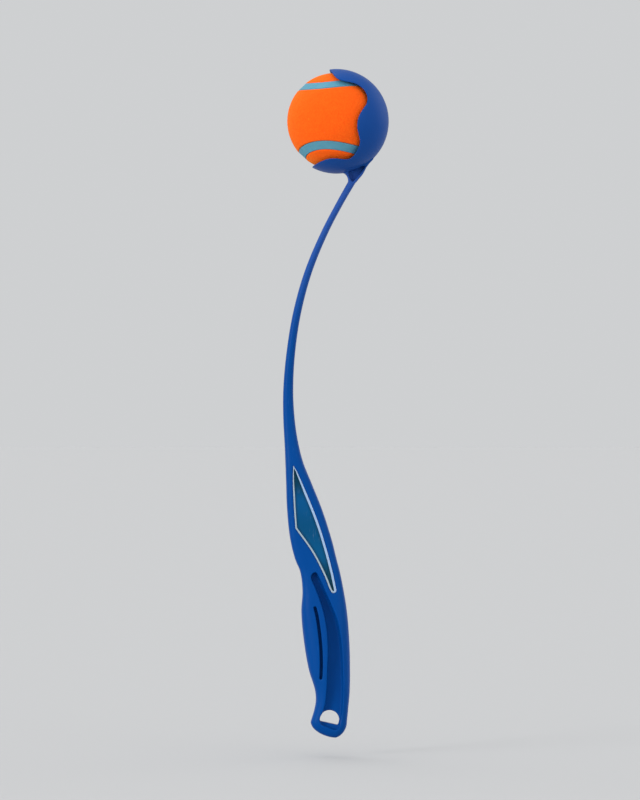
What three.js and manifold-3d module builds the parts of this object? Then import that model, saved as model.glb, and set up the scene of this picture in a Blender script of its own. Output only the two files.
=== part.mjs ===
// Dog ball thrower: a one-piece moulded wand with a snap cup, two inlaid handle labels and a felt ball.
// Millimetres, +Z up the wand, XZ is the plane of symmetry, the near side faces -Y.
// The origin is the centre of the hand grip.
import * as THREE from 'three';
import { mergeVertices } from 'three/addons/utils/BufferGeometryUtils.js';
import Module from 'manifold-3d';

const wasm = await Module();
wasm.setup();

// Ball
const ballDiameter = 66;
const feltThickness = 2.9;
const coreWall = 3.3;
const seamWidth = 6.2;
const seamRecess = 0.2;
const seamEdgeGap = 0.3;
const bondGap = 0.4;
const coreJointGap = 0.3;
const seamLoopShare = 0.817;
const ballTurnX = THREE.MathUtils.degToRad(-96.6);
const ballTurnY = THREE.MathUtils.degToRad(23.7);
const ballTurnZ = THREE.MathUtils.degToRad(134.7);

// Cup
const ballRise = 358.2;
const ballOffset = 6.2;
const cupClearance = 0.45;
const cupWall = 2.3;
const cupBackExtra = 0.7;
const releaseClearance = 0.2;
const mouthTilt = THREE.MathUtils.degToRad(10.2);
const gussetWeb = 1.6;

// Shaft
const shaftWidth = 5.5;
const shaftThickness = 9.6;

// Handle
const gripDrop = 63.3;
const handleLength = 193;
const handleWidth = 31.6;
const handleThickness = 20.4;
const buttCapHeight = 11;
const channelWeb = 6.4;
const slitWidth = 2;
const slitDepth = 5.5;
const holeRadius = 6.6;
const holeFlatDrop = 2.3;
const holeTilt = THREE.MathUtils.degToRad(12.7);

// Labels
const labelThickness = 0.6;
const labelGlue = 0.1;
const labelSink = 0.2;
const labelClearance = 0.3;
const labelTipRadius = 1.9;

// How far a cutter runs past the face that it opens
const overrun = 5;

const ballRadius = ballDiameter / 2;
const cupBore = ballRadius + cupClearance;
const cupRadius = cupBore + cupWall;
const cupCentre = new THREE.Vector2(ballOffset, ballRise);
const buttHeight = -gripDrop;
const neckHeight = buttHeight + handleLength;

// A place on the handle, in shares of its width and length, and one on the cup, in shares of its radius
const onHandle = ([across, up]) =>
  new THREE.Vector2(across * handleWidth, buttHeight + up * handleLength);
const onCup = ([across, up]) =>
  new THREE.Vector2(across, up).multiplyScalar(cupRadius).add(cupCentre);

// A closed mesh as a solid: shared points merged, folded triangles dropped
function solid(geometry) {
  const bare = geometry.clone();
  bare.deleteAttribute('normal');
  bare.deleteAttribute('uv');
  const merged = mergeVertices(bare);
  const corners = [];
  for (let i = 0; i < merged.index.count; i += 3) {
    const [a, b, c] = [0, 1, 2].map((k) => merged.index.getX(i + k));
    if (a !== b && b !== c && c !== a) {
      corners.push(a, b, c);
    }
  }
  return new wasm.Manifold(new wasm.Mesh({
    numProp: 3,
    vertProperties: merged.attributes.position.array,
    triVerts: new Uint32Array(corners),
  }));
}

function piece(name, body, finish) {
  const { vertProperties, triVerts } = body.getMesh();
  const geometry = new THREE.BufferGeometry();
  geometry.setAttribute('position', new THREE.BufferAttribute(vertProperties, 3));
  geometry.setIndex(new THREE.BufferAttribute(triVerts, 1));
  geometry.computeVertexNormals();
  const mesh = new THREE.Mesh(geometry, finish);
  mesh.name = name;
  return mesh;
}

// A side outline in XZ, drawn out across the width from one Y to another
function slab(outline, fromY, toY) {
  const depth = toY - fromY;
  const geometry = new THREE.ExtrudeGeometry(new THREE.Shape(outline), { depth, bevelEnabled: false });
  return solid(geometry.rotateX(Math.PI / 2).translate(0, toY, 0));
}

// The same recess on the near and the far side, from a floor outwards
function recessPair(outline, floor) {
  const face = Math.max(handleThickness, shaftThickness) / 2 + overrun;
  return slab(outline, floor, face).add(slab(outline, -face, -floor));
}

function smoothLoop(points, steps) {
  const rim = points.map((p) => new THREE.Vector3(p.x, p.y, 0));
  const loop = new THREE.CatmullRomCurve3(rim, true, 'centripetal').getPoints(steps);
  return loop.slice(0, -1).map((p) => new THREE.Vector2(p.x, p.y));
}

// An outline moved outwards by a distance, its sharp corners cut short
const sharpestCornerShare = 0.5;
function grown(outline, distance) {
  const turn = THREE.ShapeUtils.isClockWise(outline) ? -1 : 1;
  return outline.map((point, i) => {
    const before = outline.at(i - 1);
    const after = outline[(i + 1) % outline.length];
    const inEdge = point.clone().sub(before).normalize();
    const outEdge = after.clone().sub(point).normalize();
    const along = inEdge.clone().add(outEdge).normalize();
    const stretch = 1 / Math.max(along.dot(inEdge), sharpestCornerShare);
    const outwards = new THREE.Vector2(along.y, -along.x).multiplyScalar(turn);
    return point.clone().addScaledVector(outwards, distance * stretch);
  });
}

// Wand blank
// Handle rows: height, front edge, back edge, thickness, squareness and how far the corners are bevelled.
// Height is a share of the handle's length, the edges of its width, thickness of its thickness.
// A bevel of 2 just touches the corners, and one of 1 would cut them back to a diamond.
const labelZoneShare = 0.80;
const handleRowShares = [
  [0.057, -0.342, 0.446, 0.74, 4.0, 2.2],
  [0.100, -0.263, 0.472, 0.80, 4.0, 2.2],
  [0.131, -0.231, 0.490, 0.86, 3.8, 2.2],
  [0.167, -0.247, 0.506, 0.91, 3.6, 2.2],
  [0.238, -0.378, 0.513, 0.97, 3.4, 2.2],
  [0.344, -0.490, 0.497, 1.00, 3.4, 2.2],
  [0.450, -0.544, 0.443, 0.93, 4.0, 2.3],
  [0.521, -0.519, 0.373, 0.84, 5.0, 2.4],
  [0.592, -0.575, 0.285, labelZoneShare, 5.6, 2.4],
  [0.627, -0.666, 0.228, labelZoneShare, 5.6, 2.4],
  [0.698, -0.778, 0.120, labelZoneShare, 5.6, 2.4],
  [0.805, -0.851, -0.087, labelZoneShare, 5.6, 2.4],
  [0.911, -0.875, -0.345, labelZoneShare, 5.6, 2.2],
  [0.972, -0.889, -0.496, 0.77, 5.6, 1.95],
];
// Shaft rows: height, centre, width, thickness, squareness and bevel, from the neck to the cup's root
const shaftRowShares = [
  [0.045, -0.028, 1.72, 1.26, 6.5, 1.75],
  [0.127, -0.067, 1.44, 1.02, 8.0, 1.58],
  [0.236, -0.082, 1.25, 1.00, 9.0, 1.52],
  [0.381, -0.035, 1.08, 1.00, 9.0, 1.50],
  [0.527, 0.074, 1.01, 1.00, 9.0, 1.50],
  [0.673, 0.262, 0.96, 1.00, 9.0, 1.50],
  [0.818, 0.542, 0.92, 1.00, 9.0, 1.50],
  [0.927, 0.806, 0.94, 1.00, 8.0, 1.60],
  [1.000, 1.000, 1.02, 1.00, 6.0, 1.80],
];
const neckAcrossShare = -0.722;
const shaftRootShare = [0.323, -1.147];
const shaftRoot = onCup(shaftRootShare);
const neck = new THREE.Vector2(neckAcrossShare * handleWidth, neckHeight);

const rows = handleRowShares.map(([up, front, back, thick, square, bevel]) => {
  const [from, to] = [onHandle([front, up]), onHandle([back, up])];
  return { height: from.y, front: from.x, back: to.x, half: thick * handleThickness / 2, square, bevel };
});
for (const [up, across, wide, thick, square, bevel] of shaftRowShares) {
  const centre = THREE.MathUtils.lerp(neck.x, shaftRoot.x, across);
  rows.push({
    height: THREE.MathUtils.lerp(neck.y, shaftRoot.y, up),
    front: centre - wide * shaftWidth / 2,
    back: centre + wide * shaftWidth / 2,
    half: thick * shaftThickness / 2,
    square,
    bevel,
  });
}

const rowAt = new THREE.CubicInterpolant(
  rows.map((row) => row.height),
  rows.flatMap((row) => [row.front, row.back, row.half, row.square, row.bevel]),
  5,
  [],
);

const ringPoints = 20;
const capRings = 6;
const handleRings = 36;
const shaftRings = 24;
const capFirstRing = 0.3;
const capLeanShare = 0.142;
const capSpreadPower = 1.25;
const capThickPower = 0.45;

// One horizontal slice of the wand: a squared oval with bevelled corners between the front and back edges
function ring(height, front, back, half, square, bevel) {
  const atFace = 1 + bevel ** -square;
  return Array.from({ length: ringPoints }, (_, k) => {
    const angle = (k + 0.5) / ringPoints * 2 * Math.PI;
    const [c, s] = [Math.cos(angle), Math.sin(angle)];
    const [wide, thick] = [Math.abs(c), Math.abs(s)];
    const fullness = wide ** square + thick ** square + ((wide + thick) / bevel) ** square;
    const reach = (fullness / atFace) ** (-1 / square);
    return [(front + back) / 2 + c * reach * (back - front) / 2, s * reach * half, height];
  });
}

function loft(rings) {
  const first = rings[0].reduce((sum, p) => sum.map((v, i) => v + p[i] / ringPoints), [0, 0, 0]);
  const last = rings.at(-1).reduce((sum, p) => sum.map((v, i) => v + p[i] / ringPoints), [0, 0, 0]);
  const points = [...rings.flat(), first, last];
  const corners = [];
  for (let k = 0; k < ringPoints; k++) {
    const next = (k + 1) % ringPoints;
    corners.push(points.length - 2, next, k);
    for (let r = 0; r + 1 < rings.length; r++) {
      const [a, b] = [r * ringPoints + k, r * ringPoints + next];
      corners.push(a, b, b + ringPoints, a, b + ringPoints, a + ringPoints);
    }
    const top = (rings.length - 1) * ringPoints;
    corners.push(points.length - 1, top + k, top + next);
  }
  const geometry = new THREE.BufferGeometry();
  geometry.setAttribute('position', new THREE.Float32BufferAttribute(points.flat(), 3));
  geometry.setIndex(corners);
  return solid(geometry);
}

const rings = [];
const [capFront, capBack, capHalf, ...capCorners] = rowAt.evaluate(buttHeight + buttCapHeight).slice();
for (let k = 0; k < capRings; k++) {
  const turn = (k + capFirstRing) / capRings * Math.PI / 2;
  const rise = 1 - Math.cos(turn);
  const spread = Math.sin(turn) ** capSpreadPower;
  const lean = (1 - spread) * capLeanShare * handleWidth;
  const middle = (capFront + capBack) / 2 + lean;
  const reach = (capBack - capFront) / 2 * spread;
  const height = buttHeight + buttCapHeight * rise;
  const half = capHalf * spread ** capThickPower;
  rings.push(ring(height, middle - reach, middle + reach, half, ...capCorners));
}
const sliceRun = (from, to, count) => Array.from({ length: count }, (_, k) => from + (to - from) * k / count);
const handleSlices = sliceRun(buttHeight + buttCapHeight, neckHeight, handleRings);
const shaftSlices = sliceRun(neckHeight, shaftRoot.y, shaftRings);
for (const height of [...handleSlices, ...shaftSlices, shaftRoot.y]) {
  rings.push(ring(height, ...rowAt.evaluate(height)));
}
const blank = loft(rings);

// Cup: a shell round the ball, cut open by the mouth, with two side lobes and two fingers.
// Its outside is set back a little, so that the wall is thicker at the back and thinner at the fingertips.
const mouthEdgeShares = [
  [-0.121, 0.979], [0.010, 0.792], [0.140, 0.726], [0.364, 0.679], [0.514, 0.588], [0.595, 0.457],
  [0.595, 0.307], [0.514, 0.177], [0.428, 0.010], [0.411, -0.177], [0.447, -0.344], [0.462, -0.455],
  [0.411, -0.586], [0.327, -0.706], [0.214, -0.758], [-0.084, -0.743], [-0.268, -0.790], [-0.455, -0.874],
];
const mouthOuterShares = [[-0.340, -1.040], [-1.300, -1.200], [-1.300, 1.200], [-0.180, 1.200]];
const mouthSteps = 44;
const cupSegments = 44;

function sphere(radius, segments, setBack = 0) {
  const geometry = new THREE.SphereGeometry(radius, segments, segments / 2);
  return solid(geometry.translate(cupCentre.x + setBack, 0, cupCentre.y));
}

const mouthEdge = new THREE.SplineCurve(mouthEdgeShares.map(onCup)).getPoints(mouthSteps);
const mouth = slab([...mouthEdge, ...mouthOuterShares.map(onCup)], -cupRadius - overrun, cupRadius + overrun);

// Gusset: two flanges and a thin web where the shaft runs into the cup
const gussetEdgeShares = [
  [0.110, -0.970], [0.175, -0.998], [0.212, -1.035], [0.236, -1.090], [0.245, -1.160], [0.402, -1.160],
  [0.440, -1.110], [0.508, -1.035], [0.556, -0.955], [0.594, -0.875], [0.650, -0.800], [0.722, -0.725],
  [0.760, -0.620], [0.600, -0.740], [0.200, -0.940],
];
const gussetPocketShares = [
  [0.235, -0.930], [0.262, -1.060], [0.300, -1.135], [0.334, -1.172], [0.372, -1.120], [0.440, -1.048],
  [0.512, -0.955], [0.575, -0.850],
];
const gussetHalf = shaftThickness / 2;
const gussetPlate = slab(gussetEdgeShares.map(onCup), -gussetHalf, gussetHalf);
const gussetPockets = recessPair(gussetPocketShares.map(onCup), gussetWeb / 2);

// Inside the fingers a straight bore along the way out, so that they open ahead of the ball
const exitBoreLength = cupRadius + overrun;
const exitBoreSides = 44;
const exitBoreRadius = (ballRadius + releaseClearance) / Math.cos(Math.PI / exitBoreSides);
const exitBore = new THREE.CylinderGeometry(exitBoreRadius, exitBoreRadius, exitBoreLength, exitBoreSides);
exitBore.translate(0, exitBoreLength / 2, 0).rotateZ(Math.PI / 2).rotateY(mouthTilt);
exitBore.translate(cupCentre.x, 0, cupCentre.y);

// Handle recesses
const channelEdgeShares = [
  [-0.338, 0.570], [-0.218, 0.520], [-0.101, 0.466], [-0.024, 0.414], [0.017, 0.363], [0.030, 0.302],
  [0.017, 0.243], [0.002, 0.178], [-0.040, 0.118], [-0.140, 0.066], [-0.110, 0.047], [0.060, 0.034],
  [0.230, 0.026], [0.322, 0.050], [0.358, 0.105], [0.372, 0.178], [0.362, 0.264], [0.330, 0.337],
  [0.268, 0.402], [0.150, 0.458], [-0.010, 0.518], [-0.138, 0.566], [-0.232, 0.588],
];
const slitRouteShares = [
  [-0.247, 0.462], [-0.200, 0.430], [-0.160, 0.386], [-0.127, 0.337], [-0.111, 0.286], [-0.111, 0.243],
  [-0.120, 0.213],
];
const channelSteps = 69;
const slitSteps = 14;
const slitEndSteps = 6;
const channel = recessPair(smoothLoop(channelEdgeShares.map(onHandle), channelSteps), channelWeb / 2);

// A round-ended groove along a line
function groove(route, width) {
  const sides = [1, -1].map((side) => route.map((point, i) => {
    const ahead = route[Math.min(i + 1, route.length - 1)];
    const behind = route[Math.max(i - 1, 0)];
    const along = ahead.clone().sub(behind).normalize();
    return point.clone().add(new THREE.Vector2(-along.y, along.x).multiplyScalar(side * width / 2));
  }));
  const end = (centre, from) => Array.from({ length: slitEndSteps - 1 }, (_, k) =>
    from.clone().rotateAround(centre, -(k + 1) / slitEndSteps * Math.PI));
  const [left, right] = sides;
  return [...left, ...end(route.at(-1), left.at(-1)), ...right.reverse(), ...end(route[0], right.at(-1))];
}

const slitRoute = new THREE.SplineCurve(slitRouteShares.map(onHandle)).getPoints(slitSteps);
const slitFloor = handleThickness / 2 - slitDepth;
const slit = recessPair(groove(slitRoute, slitWidth), slitFloor);

// Hang hole: a round hole with a flat side towards the butt, tilted with the butt
const holePlaceShare = [0.065, 0.0642];
const holeArcSteps = 28;
const holeCentre = onHandle(holePlaceShare);
const flatAngle = Math.asin(holeFlatDrop / holeRadius);
const holeOutline = Array.from({ length: holeArcSteps + 1 }, (_, k) => {
  const angle = -flatAngle - holeTilt + k / holeArcSteps * (Math.PI + 2 * flatAngle);
  return new THREE.Vector2(Math.cos(angle), Math.sin(angle)).multiplyScalar(holeRadius).add(holeCentre);
});
const hangHole = slab(holeOutline, -handleThickness, handleThickness);

// Labels: thin kite-shaped plates let into flat pockets on both sides
const labelTopShare = [-0.715, 0.9645];
const labelFrontShares = [[-0.722, 0.900], [-0.700, 0.815], [-0.668, 0.742]];
const labelLowerShares = [[-0.312, 0.660], [-0.063, 0.582], [0.068, 0.529]];
const labelTipShare = [0.154, 0.524];
const labelBackShares = [
  [0.142, 0.582], [0.041, 0.646], [-0.104, 0.727], [-0.250, 0.795], [-0.456, 0.877], [-0.640, 0.945],
];
const labelSideSteps = 8;
const labelTipSteps = 6;
const tipCentre = onHandle(labelTipShare);
const labelTipTurns = [1.16, 2.06].map((halfTurns) => halfTurns * Math.PI);
const labelTip = Array.from({ length: labelTipSteps + 1 }, (_, k) => {
  const angle = THREE.MathUtils.lerp(...labelTipTurns, k / labelTipSteps);
  return new THREE.Vector2(Math.cos(angle), Math.sin(angle)).multiplyScalar(labelTipRadius).add(tipCentre);
});
const labelRun = (shares, steps) => new THREE.SplineCurve(shares.map(onHandle)).getPoints(steps);
const labelOutline = [
  ...labelRun([labelTopShare, ...labelFrontShares], labelSideSteps),
  ...labelRun(labelLowerShares, labelSideSteps / 2),
  ...labelTip,
  ...labelRun(labelBackShares, labelSideSteps),
];
const labelFace = labelZoneShare * handleThickness / 2 - labelSink;
const labelSeat = labelFace - labelThickness;
const labelPockets = recessPair(grown(labelOutline, labelClearance), labelSeat - labelGlue);

const wandBody = blank
  .add(gussetPlate)
  .subtract(gussetPockets)
  .add(sphere(cupRadius, cupSegments, cupBackExtra))
  .subtract(sphere(cupBore, cupSegments))
  .subtract(solid(exitBore))
  .subtract(mouth)
  .subtract(channel)
  .subtract(slit)
  .subtract(hangHole)
  .subtract(labelPockets);

// Ball: the seam is the closed curve that parts the felt into two equal dumb-bell panels
const seamSteps = 72;
const panelSteps = 10;
const seamFold = 1 - seamLoopShare;
const seamSwing = 2 * Math.sqrt(seamLoopShare * seamFold);
const seamPoint = (t) => new THREE.Vector3(
  seamLoopShare * Math.cos(t) + seamFold * Math.cos(3 * t),
  seamLoopShare * Math.sin(t) - seamFold * Math.sin(3 * t),
  seamSwing * Math.sin(2 * t),
);
const seamTurn = 2 * Math.PI / seamSteps;

// The direction from the ball's centre to a line beside the seam, a distance towards the first panel
function besideSeam(t, distance) {
  const along = seamPoint(t + seamTurn / 2).sub(seamPoint(t - seamTurn / 2)).normalize();
  const out = seamPoint(t).normalize();
  const angle = distance / ballRadius;
  return out.clone().multiplyScalar(Math.cos(angle)).add(out.cross(along).multiplyScalar(Math.sin(angle)));
}

const coreRadius = ballRadius - feltThickness - bondGap;
const feltInside = ballRadius - feltThickness;

// A closed skin over a grid of directions: its outer face, its inner face and the edge between them
function feltPanel() {
  const rowCount = seamSteps / 2;
  const edge = seamWidth / 2 + seamEdgeGap;
  const grid = Array.from({ length: rowCount + 1 }, (_, i) => {
    const t = -Math.PI / 4 + i * seamTurn;
    const [from, to] = [besideSeam(t, edge), besideSeam(-Math.PI / 2 - t, edge)];
    const swing = new THREE.Quaternion().setFromUnitVectors(from, to);
    return Array.from({ length: panelSteps + 1 }, (_, j) =>
      from.clone().applyQuaternion(new THREE.Quaternion().slerp(swing, j / panelSteps)));
  });
  const triangles = [];
  const quad = (a, b, c, d) => triangles.push(a, b, c, a, c, d);
  const outer = (i, j) => grid[i][j].clone().multiplyScalar(ballRadius);
  const inner = (i, j) => grid[i][j].clone().multiplyScalar(feltInside);
  for (let i = 0; i < rowCount; i++) {
    for (let j = 0; j < panelSteps; j++) {
      quad(outer(i, j), outer(i + 1, j), outer(i + 1, j + 1), outer(i, j + 1));
      quad(inner(i, j), inner(i, j + 1), inner(i + 1, j + 1), inner(i + 1, j));
    }
    quad(outer(i, 0), inner(i, 0), inner(i + 1, 0), outer(i + 1, 0));
    quad(outer(i, panelSteps), outer(i + 1, panelSteps), inner(i + 1, panelSteps), inner(i, panelSteps));
  }
  return solid(new THREE.BufferGeometry().setFromPoints(triangles));
}

function seamBand() {
  const outside = ballRadius - seamRecess;
  const inside = coreRadius + bondGap;
  const half = seamWidth / 2;
  const section = [
    [half, outside], [0, outside], [-half, outside], [-half, inside], [0, inside], [half, inside],
  ];
  const corner = (i, k) => {
    const [side, radius] = section[k % section.length];
    return besideSeam(i % seamSteps * seamTurn, side).multiplyScalar(radius);
  };
  const triangles = [];
  for (let i = 0; i < seamSteps; i++) {
    for (let k = 0; k < section.length; k++) {
      const [a, b, c, d] = [corner(i, k), corner(i, k + 1), corner(i + 1, k + 1), corner(i + 1, k)];
      triangles.push(a, b, c, a, c, d);
    }
  }
  return solid(new THREE.BufferGeometry().setFromPoints(triangles));
}

// Core: two moulded rubber cups, glued rim to rim
const coreSegments = 32;
function coreHalf() {
  const rimHeight = coreJointGap / 2;
  const outside = new THREE.SphereGeometry(coreRadius, coreSegments, coreSegments / 2);
  const inside = new THREE.SphereGeometry(coreRadius - coreWall, coreSegments, coreSegments / 2);
  const other = new THREE.BoxGeometry(ballDiameter, ballDiameter, ballDiameter);
  other.translate(0, rimHeight - ballRadius, 0);
  return solid(outside).subtract(solid(inside)).subtract(solid(other));
}

const wandPlastic = new THREE.MeshStandardMaterial({ color: 0x0b4f9c, roughness: 0.38, metalness: 0 });
const labelFilm = new THREE.MeshStandardMaterial({ color: 0x14607f, roughness: 0.3, metalness: 0 });
const orangeFelt = new THREE.MeshStandardMaterial({ color: 0xff6a1c, roughness: 0.9, metalness: 0 });
const tealRubber = new THREE.MeshStandardMaterial({ color: 0x5a9db4, roughness: 0.75, metalness: 0 });
const coreRubber = new THREE.MeshStandardMaterial({ color: 0x33302e, roughness: 0.8, metalness: 0 });

const thrower = new THREE.Group();
thrower.add(piece('wand', wandBody, wandPlastic));
thrower.add(piece('label_near', slab(labelOutline, -labelFace, -labelSeat), labelFilm));
thrower.add(piece('label_far', slab(labelOutline, labelSeat, labelFace), labelFilm));

const ball = new THREE.Group();
ball.position.set(cupCentre.x, 0, cupCentre.y);
ball.rotation.set(ballTurnX, ballTurnY, ballTurnZ);
const halfA = piece('core_half_a', coreHalf(), coreRubber);
const halfB = piece('core_half_b', coreHalf(), coreRubber);
halfB.rotation.x = Math.PI;
const panelA = piece('felt_panel_a', feltPanel(), orangeFelt);
const panelB = piece('felt_panel_b', feltPanel(), orangeFelt);
panelB.rotation.x = Math.PI;
ball.add(halfA, halfB, panelA, panelB, piece('seam_band', seamBand(), tealRubber));
thrower.add(ball);

export default thrower;
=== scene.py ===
# Dog ball thrower: a springy moulded wand with a snap cup, a label let into each side of its
# handle, and a felt-covered rubber ball. Metres, +Z up the wand, seen from -Y. The origin is the
# middle of the grip.
import math
import bmesh
import bpy
import numpy as np
from mathutils import Matrix, Vector, kdtree, noise


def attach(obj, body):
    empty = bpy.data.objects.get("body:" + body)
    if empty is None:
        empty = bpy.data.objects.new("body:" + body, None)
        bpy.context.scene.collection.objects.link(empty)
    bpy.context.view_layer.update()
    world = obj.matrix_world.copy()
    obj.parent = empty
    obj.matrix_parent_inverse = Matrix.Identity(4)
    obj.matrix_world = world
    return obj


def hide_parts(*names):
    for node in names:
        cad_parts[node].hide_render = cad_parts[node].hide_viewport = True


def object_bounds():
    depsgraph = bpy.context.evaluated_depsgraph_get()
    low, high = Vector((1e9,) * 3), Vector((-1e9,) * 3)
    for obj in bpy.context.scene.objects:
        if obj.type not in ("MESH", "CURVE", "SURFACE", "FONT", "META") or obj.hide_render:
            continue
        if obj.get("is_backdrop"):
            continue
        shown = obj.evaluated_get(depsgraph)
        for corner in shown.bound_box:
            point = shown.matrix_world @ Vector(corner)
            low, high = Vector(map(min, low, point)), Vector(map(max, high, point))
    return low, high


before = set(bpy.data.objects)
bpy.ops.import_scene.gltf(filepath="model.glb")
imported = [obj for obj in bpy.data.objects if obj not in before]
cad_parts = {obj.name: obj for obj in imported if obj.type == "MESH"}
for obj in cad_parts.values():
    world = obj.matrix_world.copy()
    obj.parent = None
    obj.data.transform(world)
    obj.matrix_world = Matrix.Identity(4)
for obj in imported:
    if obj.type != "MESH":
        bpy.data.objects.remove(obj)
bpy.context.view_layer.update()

# Studio
# A pale matt floor runs out of sight in a pale room, which lights the wand evenly, like a tent.
# Four weak, wide and far lamps give it shape, and what it mirrors is dim behind the camera.
view_centre = Vector((-0.0044, 0, 0.1676))
view_height = 0.5472
lens_length = 200
film_height = 36
# Each lamp: the side it stands on, how wide it looks in degrees, and its level.
lamps = {
    "main_lamp": ((-2.00, -1.65, 0.53), 26, 0.48),
    "fill_lamp": ((1.70, -1.70, 0.23), 32, 0.12),
    "right_edge_lamp": ((1.50, 0.90, 0.63), 41, 0.10),
    "top_edge_lamp": ((-0.40, 0.90, 1.53), 36, 0.12),
}
room_white = (0.97, 0.98, 1, 1)
room_light = 0.97
pale_grey = (0.62, 0.63, 0.64, 1)
dim_share = 0.08
room_dim_from, room_dim_to = -0.2, -1
floor_dim_from, floor_dim_to = -0.02, -0.25
floor_drop = 0.076
floor_reach = 20
floor_sides = 64
floor_grey = (0.47, 0.47, 0.47)
floor_glow = (0.065, 0.069, 0.070, 1)

camera = bpy.data.objects.new("camera", bpy.data.cameras.new("camera"))
bpy.context.scene.collection.objects.link(camera)
camera.data.lens = lens_length
camera.data.sensor_width = film_height
camera.location = view_centre - Vector((0, view_height * lens_length / film_height, 0))
camera.rotation_euler = (math.radians(90), 0, 0)
bpy.context.scene.camera = camera
bpy.context.scene.view_settings.view_transform = "Standard"

for name, (towards, width, level) in lamps.items():
    light = bpy.data.lights.new(name, "SUN")
    light.angle = math.radians(width)
    light.energy = level * math.pi
    lamp = bpy.data.objects.new(name, light)
    bpy.context.scene.collection.objects.link(lamp)
    lamp.location = towards
    lamp.rotation_euler = Vector(towards).to_track_quat("Z", "Y").to_euler()

room = bpy.data.worlds.new("room")
bpy.context.scene.world = room
room.use_nodes = True
room.node_tree.nodes.clear()


class Nodes:
    """The nodes of one material, group or world, added and joined by name."""

    def __init__(self, tree):
        self.tree = tree

    def add(self, kind, values=None, links=None, **settings):
        node = self.tree.nodes.new(kind)
        for setting, value in settings.items():
            setattr(node, setting, value)
        for socket, value in (values or {}).items():
            node.inputs[socket].default_value = value
        self.feed(node, links or {})
        return node

    def feed(self, node, links):
        for socket, source in links.items():
            self.tree.links.new(source, node.inputs[socket])


def maths(nodes, operation, *terms):
    """What one sum of values comes to"""
    links = dict(enumerate(terms))
    return nodes.add("ShaderNodeMath", links=links, operation=operation).outputs[0]


def rescaled(nodes, value, found=(0, 1), wanted=(0, 1), **settings):
    """A value of one span laid out over another span, and held at its ends"""
    spans = {
        "From Min": found[0], "From Max": found[1], "To Min": wanted[0], "To Max": wanted[1],
    }
    return nodes.add("ShaderNodeMapRange", spans, {"Value": value}, **settings).outputs[0]


def place_on(nodes, frame_of="Object"):
    """The X, Y and Z of each point, in the object's own frame or another"""
    place = nodes.add("ShaderNodeTexCoord").outputs[frame_of]
    return nodes.add("ShaderNodeSeparateXYZ", links={0: place}).outputs


def seen_directly(nodes):
    """1 for what the camera sees, straight or in a gloss, and 0 for what lights the wand"""
    path = nodes.add("ShaderNodeLightPath").outputs
    gloss = maths(nodes, "MAXIMUM", path["Is Glossy Ray"], path["Is Transmission Ray"])
    return maths(nodes, "MAXIMUM", path["Is Camera Ray"], gloss)


def dim_in_front(nodes, y, nearest, farthest):
    """A share for what a gloss mirrors, which falls from one Y to another, and 1 for all else"""
    share = rescaled(
        nodes, y, (farthest, nearest), (dim_share, 1), interpolation_type="SMOOTHSTEP",
    )
    mirrored = nodes.add("ShaderNodeLightPath").outputs["Is Glossy Ray"]
    return nodes.add("ShaderNodeMix", {2: 1}, {0: mirrored, 3: share}).outputs[0]


nodes = Nodes(room.node_tree)
lighting = nodes.add("ShaderNodeBackground", {"Color": room_white, "Strength": room_light})
strength = dim_in_front(nodes, place_on(nodes, "Generated")["Y"], room_dim_from, room_dim_to)
backdrop = nodes.add("ShaderNodeBackground", {"Color": pale_grey}, {"Strength": strength})
chosen = nodes.add("ShaderNodeMixShader", links={
    0: seen_directly(nodes), 1: lighting.outputs[0], 2: backdrop.outputs[0],
})
nodes.add("ShaderNodeOutputWorld", links={"Surface": chosen.outputs[0]})


same_place = 1e-7


def piece_from(name, points, faces, facts={}):
    """An object from points, faces and facts about each point, with its faces turned outwards"""
    mesh = bpy.data.meshes.new(name)
    mesh.from_pydata([tuple(point) for point in points], [], [tuple(face) for face in faces])
    for fact, values in facts.items():
        values = np.asarray(values, np.float32)
        mesh.attributes.new(fact, "FLOAT", "POINT").data.foreach_set("value", values)
    shape = bmesh.new()
    shape.from_mesh(mesh)
    bmesh.ops.remove_doubles(shape, verts=shape.verts, dist=same_place)
    bmesh.ops.recalc_face_normals(shape, faces=shape.faces)
    shape.to_mesh(mesh)
    shape.free()
    mesh.shade_smooth()
    made = bpy.data.objects.new(name, mesh)
    bpy.context.scene.collection.objects.link(made)
    return made


floor_turns = [2 * math.pi * k / floor_sides for k in range(floor_sides)]
floor_rim = [
    (floor_reach * math.cos(turn), floor_reach * math.sin(turn), -floor_drop)
    for turn in floor_turns
]
studio_floor = piece_from("studio_floor", floor_rim, [range(floor_sides)])
floor_paint = bpy.data.materials.new("floor_paint")
floor_paint.use_nodes = True
floor_paint.node_tree.nodes.clear()
nodes = Nodes(floor_paint.node_tree)
shown = dim_in_front(nodes, place_on(nodes)["Y"], floor_dim_from, floor_dim_to)
floor_colour = nodes.add(
    "ShaderNodeVectorMath", {0: floor_grey}, {"Scale": shown}, operation="SCALE",
)
matt = nodes.add("ShaderNodeBsdfDiffuse", links={"Color": floor_colour.outputs[0]})
glow_level = maths(nodes, "MULTIPLY", seen_directly(nodes), shown)
glow = nodes.add("ShaderNodeEmission", {"Color": floor_glow}, {"Strength": glow_level})
both = nodes.add("ShaderNodeAddShader", links={0: matt.outputs[0], 1: glow.outputs[0]})
nodes.add("ShaderNodeOutputMaterial", links={"Surface": both.outputs[0]})
studio_floor.data.materials.append(floor_paint)
studio_floor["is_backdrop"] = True

# Wand
# The wand is one injection moulding in tough blue plastic: a hollow-sided handle that runs into a
# springy shaft with a snap cup. It is drawn as level slices, squared ovals in the handle and flats
# with bevelled corners in the shaft, and the rest is then joined on or cut away.
ball_radius = 0.033
cup_clearance = 0.00045
cup_wall = 0.0023
cup_back_extra = 0.0007
cup_bore = ball_radius + cup_clearance
cup_radius = cup_bore + cup_wall
cup_centre = Vector((0.0062, 0, 0.3582))
handle_length = 0.193
handle_width = 0.0316
handle_thickness = 0.0204
butt_height = -0.0633
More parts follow.
